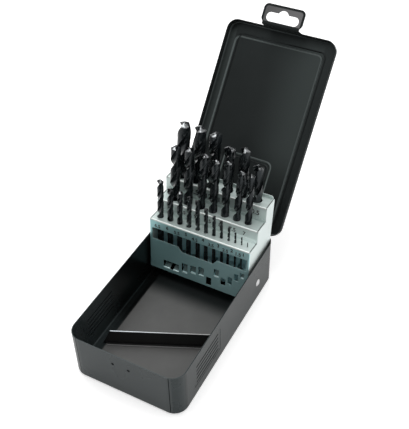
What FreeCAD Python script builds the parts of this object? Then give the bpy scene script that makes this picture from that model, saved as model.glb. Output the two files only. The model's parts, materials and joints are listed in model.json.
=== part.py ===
import FreeCAD, Part
import itertools
import math
import os
from types import SimpleNamespace

import Sketcher
from FreeCAD import Placement, Rotation, Vector

# A folding drill bit case of pressed sheet steel, standing open.
# X runs across the case, Y from its front to its hinge, Z up.
# The origin lies under the middle of the open case, on the surface it stands on.

SIZES = {
    "sheet": 0.8,
    "overrun": 2.0,
    # the middle of the open case, counted back from the tray's front
    "middle": 169.3,
    # the tray
    "tray_width": 116.4,
    "tray_length": 200.0,
    "tray_height": 53.0,
    "tray_corner": 14.0,
    "tray_bend": 2.5,
    "floor_ring": 5.2,
    "floor_slope": 7.5,
    "floor_rise": 1.2,
    "seam_inset": 10.7,
    "seam_gap": 0.4,
    "dent_pitch": 16.3,
    "dent_shift": -1.2,
    "dent_height": 39.5,
    "dent_radius": 1.25,
    "dent_depth": 0.45,
    "grip_front": 27.0,
    "grip_back": 77.0,
    "grip_low": 13.0,
    "grip_high": 42.0,
    "grip_depth": 0.2,
    "groove_front": 31.0,
    "groove_back": 73.0,
    "groove_low": 17.2,
    "groove_pitch": 5.3,
    "groove_width": 1.6,
    "groove_depth": 0.3,
    # the strip that the short bits' tips rest against when the rack lies down
    "rest_left": -49.6,
    "rest_front": 39.3,
    "rest_turn": 24.1,
    "rest_slant": 8.2,
    "rest_top": 20.0,
    "rest_foot": 3.2,
    "rest_clearance": 0.15,
    # the hinge
    "hinge_back": 2.0,
    "hinge_height": 48.6,
    "hinge_half": 44.0,
    "end_knuckle": 14.0,
    "middle_knuckle": 16.0,
    "knuckle_gap": 0.5,
    "knuckle_radius": 2.0,
    "pin_radius": 1.0,
    "pin_clearance": 0.05,
    # the lid
    "open_angle": 129.6,
    "lid_gap": 0.6,
    "front_gap": 0.55,
    "lid_rise": 1.2,
    "lid_depth": 8.6,
    "lid_corner": 11.0,
    "lid_bend": 2.5,
    "notch_clearance": 0.45,
    "bead_inset": 11.5,
    "bead_front_inset": 13.7,
    "bead_back_inset": 8.0,
    "bead_corner": 5.6,
    "bead_width": 3.7,
    "bead_depth": 0.9,
    "panel_bead_half": 26.2,
    "panel_bead_front": 69.0,
    "panel_bead_back": 22.0,
    "tongue_half": 20.0,
    "tongue_shift": 1.0,
    "tongue_drop": 12.9,
    "tongue_bend": 1.5,
    "pip_radius": 1.0,
    "pip_height": 0.4,
    "tab_reach": 20.4,
    "tab_half": 22.2,
    "tab_shoulder": 4.8,
    "tab_shoulder_round": 4.0,
    "tab_corner": 5.0,
    "slot_half": 17.4,
    "slot_near": 2.9,
    "slot_far": 12.3,
    "slot_corner": 4.5,
    "hook_reach": 10.0,
    "hook_radius": 5.9,
    # the rack
    "rack_place": 138.5,
    "rack_lean": 5.28,
    "rack_room": 2.2,
    "rack_bend": 1.2,
    "tread_bend": 1.5,
    "tread_gap": 0.5,
    "front_foot": 14.6,
    "low_tread": 76.4,
    "middle_tread": 90.8,
    "top_tread": 106.85,
    "middle_riser": 15.7,
    "top_riser": 33.3,
    "rack_depth": 51.4,
    "lip_height": 3.4,
    "lip_corner": 2.5,
    "middle_foot": 13.5,
    "top_foot": 9.0,
    "flange_reach": 7.5,
    "flange_low": 34.0,
    "foot_clearance": 0.35,
    "foot_back": 45.5,
    "heel_height": 12.0,
    "heel_back": 49.5,
    "heel_top": 58.0,
    "hole_clearance": 0.2,
    "low_row_margin": 4.2,
    "low_row_shift": -0.6,
    "middle_row_margin": 9.3,
    "middle_row_shift": -0.6,
    "top_row_margin": 6.3,
    "top_row_shift": -1.9,
    "seat_gap": 0.4,
    "seat_length": 5.0,
    "flap_gap": 0.3,
    "slot_spare": 3.6,
    "window_top": 66.3,
    "window_high": 52.0,
    "window_low": 46.5,
    # the pivots
    "pivot_height": 23.9,
    "pivot_back": 18.5,
    "rivet_radius": 2.0,
    "rivet_clearance": 0.05,
    "rivet_head": 3.75,
    "rivet_crown": 1.2,
    "rivet_tail": 2.8,
    "washer_radius": 6.0,
    "washer_clearance": 0.1,
}

# Each bit's diameter, length, height of its shank end over the rack's base and lean to the right in
# degrees, then its seat: the drop from the shank end to the flap's root, the height of the opening the
# flap was lanced from, and the edge of that opening it hangs on.
LOW_ROW = [
    (6.5, 101.0, 20.2, 0.0, 4.8, 0.0, "sill"),
    (6.0, 93.0, 22.0, 0.0, 3.5, 10.2, "sill"),
    (5.5, 93.0, 22.0, 0.0, 3.5, 10.2, "sill"),
    (5.0, 86.0, 27.0, 0.0, 6.3, 12.6, "sill"),
    (4.5, 80.0, 31.7, -1.5, 7.7, 10.4, "sill"),
    (4.0, 75.0, 30.3, -1.5, 5.2, 11.3, "sill"),
    (3.5, 70.0, 29.8, -1.5, 2.8, 10.2, "lintel"),
    (3.0, 61.0, 36.0, -3.0, 5.0, 10.1, "sill"),
    (2.5, 57.0, 36.5, -0.5, 3.7, 9.2, "lintel"),
    (2.0, 49.0, 39.5, -2.0, 2.2, 9.1, "lintel"),
    (1.5, 40.0, 45.7, -2.0, 1.5, 9.0, "lintel"),
    (1.0, 34.0, 47.3, -2.0, 6.3, 7.1, "sill"),
]
MIDDLE_ROW = [
    (10.0, 133.0, 20.6, 1.0, 4.0, 9.0, "sill"),
    (9.5, 125.0, 30.6, 1.0, 4.0, 9.0, "sill"),
    (9.0, 125.0, 29.8, 3.0, 4.0, 9.0, "sill"),
    (8.5, 117.0, 34.4, 1.5, 4.0, 9.0, "sill"),
    (8.0, 117.0, 37.0, 0.5, 4.0, 9.0, "sill"),
    (7.5, 109.0, 38.7, 2.0, 4.0, 9.0, "sill"),
    (7.0, 109.0, 38.9, 0.0, 4.0, 9.0, "sill"),
]
TOP_ROW = [
    (13.0, 151.0, 19.5, 3.2, 4.0, 9.0, "sill"),
    (12.5, 151.0, 19.9, 2.8, 4.0, 9.0, "sill"),
    (12.0, 151.0, 18.2, 2.0, 4.0, 9.0, "sill"),
    (11.5, 142.0, 16.1, 0.5, 4.0, 9.0, "sill"),
    (11.0, 142.0, 19.7, 0.0, 4.0, 9.0, "sill"),
    (10.5, 133.0, 14.5, -1.8, 4.0, 9.0, "sill"),
]
GROOVE_COUNT = 5
POINT_ANGLE = 118.0
SLOT_WIDTH_SHARE = 0.65
CHAMFER_SHARE = 0.06
CROWN_SHARE = 0.85
# the rack window's lower edge steps down and up again at these shares of its half width
WINDOW_STEP_SHARES = (-0.44, -0.35, 0.315, 0.39)
WINDOW_HALF_SHARE = 0.96
CLOSE = 0.01


class Size:
    """A length or angle that knows its value and the sheet expression it stands for."""

    def __init__(self, value, text):
        self.value = value
        self.text = text

    def join(self, other, sign, value):
        return Size(value, f"({self.text} {sign} {text_of(other)})")

    def __float__(self):
        return self.value

    def __neg__(self):
        return Size(-self.value, f"(0 - {self.text})")

    def __add__(self, other):
        return self.join(other, "+", self.value + float(other))

    def __sub__(self, other):
        return self.join(other, "-", self.value - float(other))

    def __mul__(self, other):
        return self.join(other, "*", self.value * float(other))

    def __truediv__(self, other):
        return self.join(other, "/", self.value / float(other))

    def __rsub__(self, other):
        return -self + other

    __radd__ = __add__
    __rmul__ = __mul__


def text_of(size):
    return size.text if isinstance(size, Size) else repr(float(size))


doc = FreeCAD.newDocument("DrillBitCase")
sheet = doc.addObject("Spreadsheet::Sheet", "sizes")
sheet_rows = itertools.count(1)


def driving(name, value):
    """Write one driving dimension into the sheet."""
    row = next(sheet_rows)
    sheet.set(f"A{row}", name)
    sheet.set(f"B{row}", str(value))
    sheet.setAlias(f"B{row}", name)
    return Size(value, f"sizes.{name}")


d = SimpleNamespace(**{name: driving(name, value) for name, value in SIZES.items()})


# Sketches

def new_body(label):
    body = doc.addObject("PartDesign::Body", label)
    body.Label = label
    return body


def new_sketch(body, name, plane, offset):
    """An empty sketch on one of the body's own planes, moved along that plane's normal."""
    made = body.newObject("Sketcher::SketchObject", name)
    support = next(p for p in body.Origin.OriginFeatures if p.Role == plane)
    made.AttachmentSupport = [(support, "")]
    made.MapMode = "FlatFace"
    made.setExpression("AttachmentOffset.Base.z", text_of(offset))
    return made


def hold(sketch, kind, *target):
    """Bind one dimension of a sketch; the last item of target is its size."""
    *where, size = target
    index = sketch.addConstraint(Sketcher.Constraint(kind, *where, float(size)))
    sketch.setExpression(f"Constraints[{index}]", text_of(size))


def hold_point(sketch, line, end, x, y):
    hold(sketch, "DistanceX", -1, 1, line, end, x)
    hold(sketch, "DistanceY", -1, 1, line, end, y)


def outline(sketch, points):
    """A closed polygon whose every corner is held by two dimensions."""
    first = sketch.GeometryCount
    corners = [Vector(float(x), float(y), 0) for x, y in points]
    for start, end in zip(corners, corners[1:] + corners[:1]):
        sketch.addGeometry(Part.LineSegment(start, end))
    for number, (x, y) in enumerate(points):
        following = first + (number + 1) % len(points)
        sketch.addConstraint(Sketcher.Constraint("Coincident", first + number, 2, following, 1))
        hold_point(sketch, first + number, 1, x, y)


def box(sketch, left, right, low, high):
    outline(sketch, [(left, low), (right, low), (right, high), (left, high)])


def circle(sketch, x, y, radius):
    added = sketch.addGeometry(Part.Circle(Vector(float(x), float(y), 0), Vector(0, 0, 1), float(radius)))
    hold_point(sketch, added, 3, x, y)
    hold(sketch, "Radius", added, radius)


def rounded_box(sketch, left, right, low, high, radius):
    """A rectangle with four equal round corners, walked anticlockwise from its lower side."""
    first = sketch.GeometryCount
    centres = [(left + radius, low + radius), (right - radius, low + radius),
               (right - radius, high - radius), (left + radius, high - radius)]
    for quarter, (x, y) in enumerate(centres):
        centre = Vector(float(x), float(y), 0)
        start = math.pi + quarter * math.pi / 2
        ring = Part.Circle(centre, Vector(0, 0, 1), float(radius))
        sketch.addGeometry(Part.ArcOfCircle(ring, start, start + math.pi / 2))
    for arc in range(first, first + 4):
        following = first + (arc - first + 1) % 4
        line = sketch.addGeometry(Part.LineSegment(
            sketch.getPoint(arc, 2), sketch.getPoint(following, 1)))
        sketch.addConstraint(Sketcher.Constraint("Tangent", arc, 2, line, 1))
        sketch.addConstraint(Sketcher.Constraint("Tangent", line, 2, following, 1))
    for arc, (x, y) in zip((first, first + 2), (centres[0], centres[2])):
        hold_point(sketch, arc, 3, x, y)
    for arc in range(first + 1, first + 4):
        sketch.addConstraint(Sketcher.Constraint("Equal", first, arc))
    hold(sketch, "Radius", first, radius)
    sketch.addConstraint(Sketcher.Constraint("Horizontal", first + 4))
    sketch.addConstraint(Sketcher.Constraint("Vertical", first + 5))


# Features

def layer(body, kind, name, plane, start, end):
    """A pad or pocket from start to end along a plane's axis. Its sketch is returned, to be drawn."""
    middle = (start + end) / 2
    sketch = new_sketch(body, name + "Sketch", plane, -middle if plane == "XZ_Plane" else middle)
    feature = body.newObject("PartDesign::" + kind, name)
    feature.Profile = sketch
    feature.SideType = "Symmetric"
    feature.setExpression("Length", text_of(end - start))
    return sketch


def centred(body, kind, name, plane, width):
    """A pad or pocket as wide as given, half on each side of a plane."""
    return layer(body, kind, name, plane, width / -2, width / 2)


def names_of(kind, shapes, wanted):
    return [f"{kind}{number}" for number, shape in enumerate(shapes, 1) if wanted(shape)]


def flat_at(axis, place):
    """Does a face or edge lie in the plane where axis has this value?"""
    low, high = axis + "Min", axis + "Max"
    return lambda shape: (abs(getattr(shape.BoundBox, low) - float(place)) < CLOSE
                          and abs(getattr(shape.BoundBox, high) - float(place)) < CLOSE)


def along(axis):
    """Does an edge run along this axis only?"""
    others = [other + "Length" for other in "XYZ" if other != axis]
    return lambda edge: (all(getattr(edge.BoundBox, other) < CLOSE for other in others)
                         and getattr(edge.BoundBox, axis + "Length") > CLOSE)


def round_edges(body, name, radius, *tests):
    """Fillet the edges of a body that pass every test."""
    doc.recompute()
    base = body.Tip
    wanted = names_of("Edge", base.Shape.Edges, lambda edge: all(test(edge) for test in tests))
    feature = body.newObject("PartDesign::Fillet", name)
    feature.Base = (base, wanted)
    feature.setExpression("Radius", text_of(radius))


def hollow(body, name, axis, place):
    """Leave a skin one sheet thick inside a solid, open at one flat face."""
    doc.recompute()
    base = body.Tip
    feature = body.newObject("PartDesign::Thickness", name)
    feature.Base = (base, names_of("Face", base.Shape.Faces, flat_at(axis, place)))
    feature.Reversed = True
    feature.Join = "Arc"
    feature.setExpression("Value", d.sheet.text)


def loft(body, kind, name, lower, upper):
    """A loft between two rounded boxes, each given as its height, sides and corner radius."""
    sections = []
    for number, (height, *shape) in enumerate((lower, upper)):
        section = new_sketch(body, f"{name}Section{number}", "XY_Plane", height)
        rounded_box(section, *shape)
        sections.append(section)
    feature = body.newObject("PartDesign::" + kind, name)
    feature.Profile = sections[0]
    feature.Sections = [sections[1]]
    feature.Ruled = True


def bead(body, kind, name, half, low, high, corner, height, sides):
    """A trapezoid swept round a rounded box on the lid's panel."""
    path = new_sketch(body, name + "Path", "XY_Plane", height)
    rounded_box(path, -half, half, low, high, corner)
    profile = new_sketch(body, name + "Profile", "YZ_Plane", 0)
    outline(profile, [(low + side, level) for side, level in sides])
    feature = body.newObject("PartDesign::" + kind, name)
    feature.Profile = profile
    doc.recompute()
    feature.Spine = (path, names_of("Edge", path.Shape.Edges, lambda edge: True))


# Where things are

tray_half = d.tray_width / 2
hinge_place = d.tray_length + d.hinge_back
rack_half = tray_half - d.sheet - d.rack_room
tier_half = rack_half - d.sheet
tread_half = tier_half - d.tread_gap
low_seat = d.middle_riser / 2
middle_seat = (d.middle_riser + d.top_riser) / 2
top_seat = (d.top_riser + d.rack_depth) / 2
lean = math.radians(d.rack_lean.value)
# the pivot seen in the rack's own frame, which leans back by rack_lean
pivot_rise = d.pivot_back * math.tan(lean) + d.pivot_height / math.cos(lean)
pivot_place = d.rack_place + d.pivot_back * math.cos(lean) + pivot_rise * math.sin(lean)
stand_here = Placement(Vector(0, -d.middle.value, 0), Rotation())
rack_here = stand_here * Placement(
    Vector(0, d.rack_place.value, 0), Rotation(Vector(1, 0, 0), -d.rack_lean.value))
lid_here = stand_here * Placement(
    Vector(0, hinge_place.value, d.hinge_height.value), Rotation(Vector(1, 0, 0), -d.open_angle.value))

tray_knuckles = [
    (-d.hinge_half, d.end_knuckle - d.hinge_half),
    (d.middle_knuckle / -2, d.middle_knuckle / 2),
    (d.hinge_half - d.end_knuckle, d.hinge_half),
]
lid_knuckles = [
    (tray_knuckles[0][1] + d.knuckle_gap, tray_knuckles[1][0] - d.knuckle_gap),
    (tray_knuckles[1][1] + d.knuckle_gap, tray_knuckles[2][0] - d.knuckle_gap),
]


# The tray: a tub of sheet with a raised floor, grips in its sides and half the hinge

tray = new_body("tray")
box(layer(tray, "Pad", "Tub", "XY_Plane", 0, d.tray_height),
    -tray_half, tray_half, 0, d.tray_length)
round_edges(tray, "TubCorners", d.tray_corner, along("Z"))
round_edges(tray, "TubBend", d.tray_bend, flat_at("Z", 0))
hollow(tray, "TubHollow", "Z", d.tray_height)
ring = (-tray_half + d.floor_ring, tray_half - d.floor_ring,
        d.floor_ring, d.tray_length - d.floor_ring, d.tray_corner - d.floor_ring)
field_inset = d.floor_ring + d.floor_slope
field = (-tray_half + field_inset, tray_half - field_inset,
         field_inset, d.tray_length - field_inset, d.tray_corner - d.floor_ring)
loft(tray, "AdditiveLoft", "FloorField", (d.sheet / 2, *ring), (d.sheet + d.floor_rise, *field))
loft(tray, "SubtractiveLoft", "FloorUnderside", (0, *ring), (d.floor_rise, *field))

seams = layer(tray, "Pocket", "Seams", "XZ_Plane", -d.overrun, d.tray_corner / 2)
for side in (-1, 1):
    seam = (tray_half - d.seam_inset) * side
    box(seams, seam - d.seam_gap / 2, seam + d.seam_gap / 2, d.tray_bend, d.tray_height + d.overrun)

dents = layer(tray, "Pocket", "SnapDents", "XZ_Plane", -d.overrun, d.dent_depth)
for side in (-1, 1):
    circle(dents, d.dent_shift + d.dent_pitch / 2 * side, d.dent_height, d.dent_radius)

for side in (-1, 1):
    outside = (tray_half + d.overrun) * side
    panel = (tray_half - d.grip_depth) * side
    floor = (tray_half - d.grip_depth - d.groove_depth) * side
    near = sorted((outside, panel), key=float)
    far = sorted((outside, floor), key=float)
    box(layer(tray, "Pocket", f"Grip{side + 1}", "YZ_Plane", *near),
        d.grip_front, d.grip_back, d.grip_low, d.grip_high)
    grooves = layer(tray, "Pocket", f"GripGrooves{side + 1}", "YZ_Plane", *far)
    for count in range(GROOVE_COUNT):
        low = d.groove_low + d.groove_pitch * count - d.groove_width / 2
        box(grooves, d.groove_front, d.groove_back, low, low + d.groove_width)

circle(centred(tray, "Pocket", "PivotHoles", "YZ_Plane", d.tray_width + d.overrun),
       pivot_place, d.pivot_height, d.rivet_radius)

for number, (start, end) in enumerate(tray_knuckles):
    circle(layer(tray, "Pad", f"Knuckle{number}", "YZ_Plane", start, end),
           hinge_place, d.hinge_height, d.knuckle_radius)
    low = d.hinge_height - d.knuckle_radius
    box(layer(tray, "Pad", f"KnuckleStrap{number}", "YZ_Plane", start, end),
        d.tray_length - d.sheet / 2, hinge_place, low, low + d.sheet)
circle(centred(tray, "Pocket", "KnuckleBore", "YZ_Plane", (d.hinge_half + d.overrun) * 2),
       hinge_place, d.hinge_height, d.pin_radius + d.pin_clearance)
tray.Placement = stand_here


# The strip across the floor, standing on a narrow foot

tip_rest = new_body("tip_rest")
turn = math.radians(d.rest_turn.value)
inner_wall = tray_half - d.sheet - d.rest_clearance
rest_length = (inner_wall - d.rest_left - d.sheet * math.sin(turn)) / math.cos(turn)
rest_bottom = d.sheet + d.floor_rise
outline(layer(tip_rest, "Pad", "Strip", "XZ_Plane", 0, d.sheet),
        [(0, rest_bottom), (rest_length, rest_bottom),
         (rest_length, d.rest_top), (d.rest_slant, d.rest_top)])
foot_start = (tray_half - field_inset + d.rest_left) / -math.cos(turn)
foot_end = (tray_half - field_inset - d.rest_left) / math.cos(turn)
box(layer(tip_rest, "Pad", "Foot", "XY_Plane", rest_bottom, rest_bottom + d.sheet),
    foot_start, foot_end - d.rest_foot, -d.rest_foot, d.sheet / 2)
tip_rest.Placement = stand_here * Placement(
    Vector(d.rest_left.value, d.rest_front.value, 0), Rotation(Vector(0, 0, 1), d.rest_turn.value))


# The lid: a shallow pan with two pressed beads, the other half of the hinge,
# and a tongue that hangs over the tray's front and ends in a tab for hanging the case up.
# It is drawn closed about the hinge's axis.

lid = new_body("lid_pan")
lid_half = tray_half + d.lid_gap + d.sheet
lid_front = -(hinge_place + d.front_gap + d.sheet)
lid_back = d.sheet / 2
lid_top = d.lid_rise + d.lid_depth
panel_inside = lid_top - d.sheet
box(layer(lid, "Pad", "Pan", "XY_Plane", d.lid_rise, lid_top), -lid_half, lid_half, lid_front, lid_back)
round_edges(lid, "PanCorners", d.lid_corner, along("Z"))
round_edges(lid, "PanBend", d.lid_bend, flat_at("Z", lid_top))
hollow(lid, "PanHollow", "Z", d.lid_rise)

# each bead is a rib outside and a groove of the same depth inside
rib_half = d.bead_width / 2 + d.sheet / 2
rib_top = rib_half - d.bead_depth
groove_half = d.bead_width / 2
groove_top = groove_half - d.bead_depth
rib_sides = [(-rib_half, lid_top - d.sheet / 2), (rib_half, lid_top - d.sheet / 2), (rib_half, lid_top),
             (rib_top, lid_top + d.bead_depth), (-rib_top, lid_top + d.bead_depth), (-rib_half, lid_top)]
groove_sides = [(-groove_half, panel_inside - d.sheet / 2), (groove_half, panel_inside - d.sheet / 2),
                (groove_half, panel_inside), (groove_top, panel_inside + d.bead_depth),
                (-groove_top, panel_inside + d.bead_depth), (-groove_half, panel_inside)]
edge_bead = (lid_half - d.bead_inset, lid_front + d.bead_front_inset,
             lid_back - d.bead_back_inset, d.bead_corner)
panel_bead = (d.panel_bead_half, lid_back - d.panel_bead_front,
              lid_back - d.panel_bead_back, d.bead_corner)
for name, path in (("EdgeBead", edge_bead), ("PanelBead", panel_bead)):
    bead(lid, "AdditivePipe", name + "Rib", *path, lid_top, rib_sides)
    bead(lid, "SubtractivePipe", name + "Groove", *path, panel_inside, groove_sides)

tab_low = d.lid_rise - d.tongue_drop
tab_high = tab_low + d.sheet
tongue_left = d.tongue_shift - d.tongue_half
tongue_right = d.tongue_shift + d.tongue_half
outline(layer(lid, "Pad", "Tongue", "YZ_Plane", tongue_left, tongue_right),
        [(lid_front + d.sheet, d.lid_rise + d.sheet), (lid_front + d.sheet, tab_low),
         (lid_front - d.tongue_bend, tab_low), (lid_front - d.tongue_bend, tab_high),
         (lid_front, tab_high), (lid_front, d.lid_rise + d.sheet)])
round_edges(lid, "TongueOuterBend", d.tongue_bend, along("X"),
            flat_at("Y", lid_front + d.sheet), flat_at("Z", tab_low))
round_edges(lid, "TongueInnerBend", d.tongue_bend - d.sheet, along("X"),
            flat_at("Y", lid_front), flat_at("Z", tab_high))
tab_left = d.tongue_shift - d.tab_half
tab_right = d.tongue_shift + d.tab_half
tab_start = lid_front - d.tongue_bend
tab_widest = lid_front - d.tab_shoulder
tab_end = lid_front - d.tab_reach
outline(layer(lid, "Pad", "Tab", "XY_Plane", tab_low, tab_high),
        [(tongue_left, tab_start), (tab_left, tab_widest), (tab_left, tab_end),
         (tab_right, tab_end), (tab_right, tab_widest), (tongue_right, tab_start)])
round_edges(lid, "TabShoulders", d.tab_shoulder_round, along("Z"), flat_at("Y", tab_widest))
round_edges(lid, "TabCorners", d.tab_corner, along("Z"), flat_at("Y", tab_end))
rounded_box(layer(lid, "Pocket", "TabSlot", "XY_Plane", tab_low - d.overrun, tab_high + d.overrun),
            d.tongue_shift - d.slot_half, d.tongue_shift + d.slot_half,
            lid_front - d.slot_far, lid_front - d.slot_near, d.slot_corner)
circle(layer(lid, "Pocket", "TabHook", "XY_Plane", tab_low - d.overrun, tab_high + d.overrun),
       d.tongue_shift, lid_front - d.hook_reach, d.hook_radius)
pip_face = lid_front + d.sheet
pips = layer(lid, "Pad", "SnapPips", "XZ_Plane", pip_face - d.sheet / 2, pip_face + d.pip_height)
for side in (-1, 1):
    circle(pips, d.dent_shift + d.dent_pitch / 2 * side, d.dent_height - d.hinge_height, d.pip_radius)

notch_top = d.knuckle_radius + d.notch_clearance
for number, (start, end) in enumerate(tray_knuckles):
    notch = layer(lid, "Pocket", f"KnuckleNotch{number}", "YZ_Plane",
                  start - d.knuckle_gap, end + d.knuckle_gap)
    box(notch, -d.overrun, d.overrun, d.lid_rise - d.overrun, notch_top)
for number, (start, end) in enumerate(lid_knuckles):
    circle(layer(lid, "Pad", f"Knuckle{number}", "YZ_Plane", start, end),
           0, 0, d.knuckle_radius)
circle(centred(lid, "Pocket", "KnuckleBore", "YZ_Plane", (d.hinge_half + d.overrun) * 2),
       0, 0, d.pin_radius + d.pin_clearance)
lid.Placement = lid_here

hinge_pin = doc.addObject("Part::Cylinder", "hinge_pin")
hinge_pin.setExpression("Radius", d.pin_radius.text)
hinge_pin.setExpression("Height", text_of(d.hinge_half * 2))
hinge_pin.Placement = stand_here * Placement(
    Vector(-d.hinge_half.value, hinge_place.value, d.hinge_height.value), Rotation(Vector(0, 1, 0), 90))


# The rack's rows: where each bit stands across its tread

def row_places(row, margin, shift):
    """Centres between two margins, with the same web of sheet between any two holes."""
    web = ((tread_half - margin) * 2 - sum(bit.diameter for bit in row)) / (len(row) - 1)
    reach = shift + margin - tread_half
    places = []
    for bit in row:
        places.append(reach + bit.diameter / 2)
        reach = reach + bit.diameter + web
    return places


def read_row(table, margin, shift):
    """One row of bits, with every number in the sheet. Its middle is shifted to the right of the rack's."""
    row = []
    for diameter, length, stop, tilt, drop, opening, edge in table:
        name = f"bit_{diameter:g}_mm".replace(".", "_")
        row.append(SimpleNamespace(
            name=name, edge=edge, tilt=tilt,
            diameter=driving(name + "_diameter", diameter),
            length=driving(name + "_length", length),
            stop=driving(name + "_stop", stop),
            drop=driving(name + "_drop", drop),
            opening=driving(name + "_opening", opening)))
    for bit, place in zip(row, row_places(row, margin, shift)):
        bit.place = place
    return row


low_row = read_row(LOW_ROW, d.low_row_margin, d.low_row_shift)
middle_row = read_row(MIDDLE_ROW, d.middle_row_margin, d.middle_row_shift)
top_row = read_row(TOP_ROW, d.top_row_margin, d.top_row_shift)


def drill_tread(body, row, seat):
    """The holes that guide a row's shanks."""
    holes = layer(body, "Pocket", "BitHoles", "XY_Plane", d.low_tread - d.tread_bend * 2,
                  d.top_tread + d.lip_height)
    for bit in row:
        circle(holes, bit.place, seat, bit.diameter / 2 + d.hole_clearance)


def half_slot(bit):
    return (bit.diameter * SLOT_WIDTH_SHARE + d.slot_spare) / 2


def opening_sides(bit):
    """The lower and upper edge of the opening that a bit's flap was lanced from."""
    root = bit.stop - bit.drop
    return (root, root + bit.opening) if bit.edge == "sill" else (root - bit.opening, root)


def lance_seats(body, row, wall, seat):
    """Flaps lanced from an upright wall and bent inwards, one under each shank.

    Neighbours whose openings lie between the same heights share one opening.
    """
    openings = layer(body, "Pocket", "FlapOpenings", "XZ_Plane", wall - d.sheet, wall + d.sheet * 2)
    lanced = [bit for bit in row if bit.opening.value]
    for _, sharing in itertools.groupby(lanced, key=lambda bit: tuple(map(float, opening_sides(bit)))):
        sharing = list(sharing)
        box(openings, sharing[0].place - half_slot(sharing[0]),
            sharing[-1].place + half_slot(sharing[-1]), *opening_sides(sharing[0]))
    for bit in row:
        root = bit.stop - bit.drop
        top = root if bit.edge == "sill" else root + d.sheet
        level = bit.stop - d.seat_gap
        near, far = seat - d.seat_length / 2, seat + d.seat_length / 2
        half = half_slot(bit) - d.flap_gap
        outline(layer(body, "Pad", f"Flap_{bit.name}", "YZ_Plane", bit.place - half, bit.place + half),
                [(wall, top - d.sheet), (wall + d.sheet, top - d.sheet), (near, level - d.sheet),
                 (far, level - d.sheet), (far, level), (near, level), (wall + d.sheet, top), (wall, top)])


def add_tread(body, wall, back, height):
    """A tread on top of a wall, with a short lip turned up at its back edge."""
    outline(centred(body, "Pad", "Tread", "YZ_Plane", tread_half * 2),
            [(wall, height - d.sheet), (back, height - d.sheet), (back, height + d.lip_height),
             (back - d.sheet, height + d.lip_height), (back - d.sheet, height), (wall, height)])
    round_edges(body, "TreadBend", d.tread_bend, along("X"), flat_at("Y", wall), flat_at("Z", height))
    round_edges(body, "LipCorners", d.lip_corner, along("Y"), flat_at("Z", height + d.lip_height))


# The rack's frame: one bent sheet with the front wall, both sides and the lowest tread

frame = new_body("rack_frame")
ring_height = d.sheet + d.foot_clearance
foot_height = ring_height / math.cos(lean) + d.foot_back * math.tan(lean)
outline(centred(frame, "Pad", "Profile", "YZ_Plane", rack_half * 2),
        [(0, d.front_foot), (d.foot_back, foot_height), (d.heel_back, d.heel_height),
         (d.heel_back, d.heel_top), (d.rack_depth, d.top_tread), (d.top_riser, d.top_tread),
         (d.top_riser, d.middle_tread), (d.middle_riser, d.middle_tread),
         (d.middle_riser, d.low_tread), (0, d.low_tread)])
round_edges(frame, "FrontCorners", d.rack_bend, along("Z"), flat_at("Y", 0))
box(centred(frame, "Pocket", "Inside", "YZ_Plane", tier_half * 2),
    d.sheet, d.rack_depth + d.overrun, -d.overrun, d.top_tread + d.overrun)
for side in (-1, 1):
    ends = sorted((tread_half * side, tier_half * side), key=float)
    box(layer(frame, "Pocket", f"TreadRelief{side + 1}", "YZ_Plane", *ends),
        -d.overrun, d.tread_bend, d.low_tread - d.tread_bend, d.low_tread + d.overrun)
add_tread(frame, 0, d.middle_riser, d.low_tread)
drill_tread(frame, low_row, low_seat)
lance_seats(frame, low_row, 0, low_seat)

window_half = tier_half * WINDOW_HALF_SHARE
step_down, step_floor, step_up, step_back = (window_half * share for share in WINDOW_STEP_SHARES)
outline(layer(frame, "Pocket", "Window", "XZ_Plane", -d.sheet, d.sheet * 2),
        [(-window_half, d.window_high), (step_down, d.window_high), (step_floor, d.window_low),
         (step_up, d.window_low), (step_back, d.window_high), (window_half, d.window_high),
         (window_half, d.window_top), (-window_half, d.window_top)])
circle(centred(frame, "Pocket", "PivotHoles", "YZ_Plane", (rack_half + d.overrun) * 2),
       d.pivot_back, pivot_rise, d.rivet_radius + d.rivet_clearance)
frame.Placement = rack_here


# The two upper tiers: each a wall, a tread and two side flanges that lie against the frame's sides

def tier(label, row, wall, back, height, foot, seat):
    body = new_body(label)
    notch = d.flange_low
    inset = tier_half - d.flange_reach / 2
    outline(layer(body, "Pad", "Wall", "XZ_Plane", wall, wall + d.sheet),
            [(-inset, foot), (inset, foot), (inset, notch), (tier_half, notch),
             (tier_half, height - d.tread_bend), (tread_half, height - d.tread_bend),
             (tread_half, height), (-tread_half, height),
             (-tread_half, height - d.tread_bend), (-tier_half, height - d.tread_bend),
             (-tier_half, notch), (-inset, notch)])
    for side in (-1, 1):
        ends = sorted(((tier_half - d.sheet) * side, tier_half * side), key=float)
        box(layer(body, "Pad", f"Flange{side + 1}", "YZ_Plane", *ends),
            wall, wall + d.flange_reach, notch, height - d.tread_bend * 2)
    add_tread(body, wall, back, height)
    drill_tread(body, row, seat)
    lance_seats(body, row, wall, seat)
    body.Placement = rack_here
    return body


middle_tier = tier("middle_tier", middle_row, d.middle_riser, d.top_riser,
                   d.middle_tread, d.middle_foot, middle_seat)
top_tier = tier("top_tier", top_row, d.top_riser, d.rack_depth,
                d.top_tread, d.top_foot, top_seat)


# The pivots: a rivet through each wall, with a thick washer between wall and rack

def turned(name, profile, side):
    """A piece turned about the pivots' axis: one solid for each side of the case."""
    body = new_body(name)
    sketch = new_sketch(body, name + "Sketch", "XZ_Plane", 0)
    outline(sketch, [(x * side, radius) for x, radius in profile])
    feature = body.newObject("PartDesign::Revolution", name + "Turned")
    feature.Profile = sketch
    feature.ReferenceAxis = (sketch, ["H_Axis"])
    feature.Angle = 360
    body.Placement = stand_here * Placement(
        Vector(0, pivot_place.value, d.pivot_height.value), Rotation())
    return body


def both_sides(label, profile):
    """The left and right piece in one node, as two solids."""
    pair = doc.addObject("Part::Compound", label)
    pair.Links = [turned(f"{label}_{hand}", profile, side) for hand, side in (("left", -1), ("right", 1))]
    return pair


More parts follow.
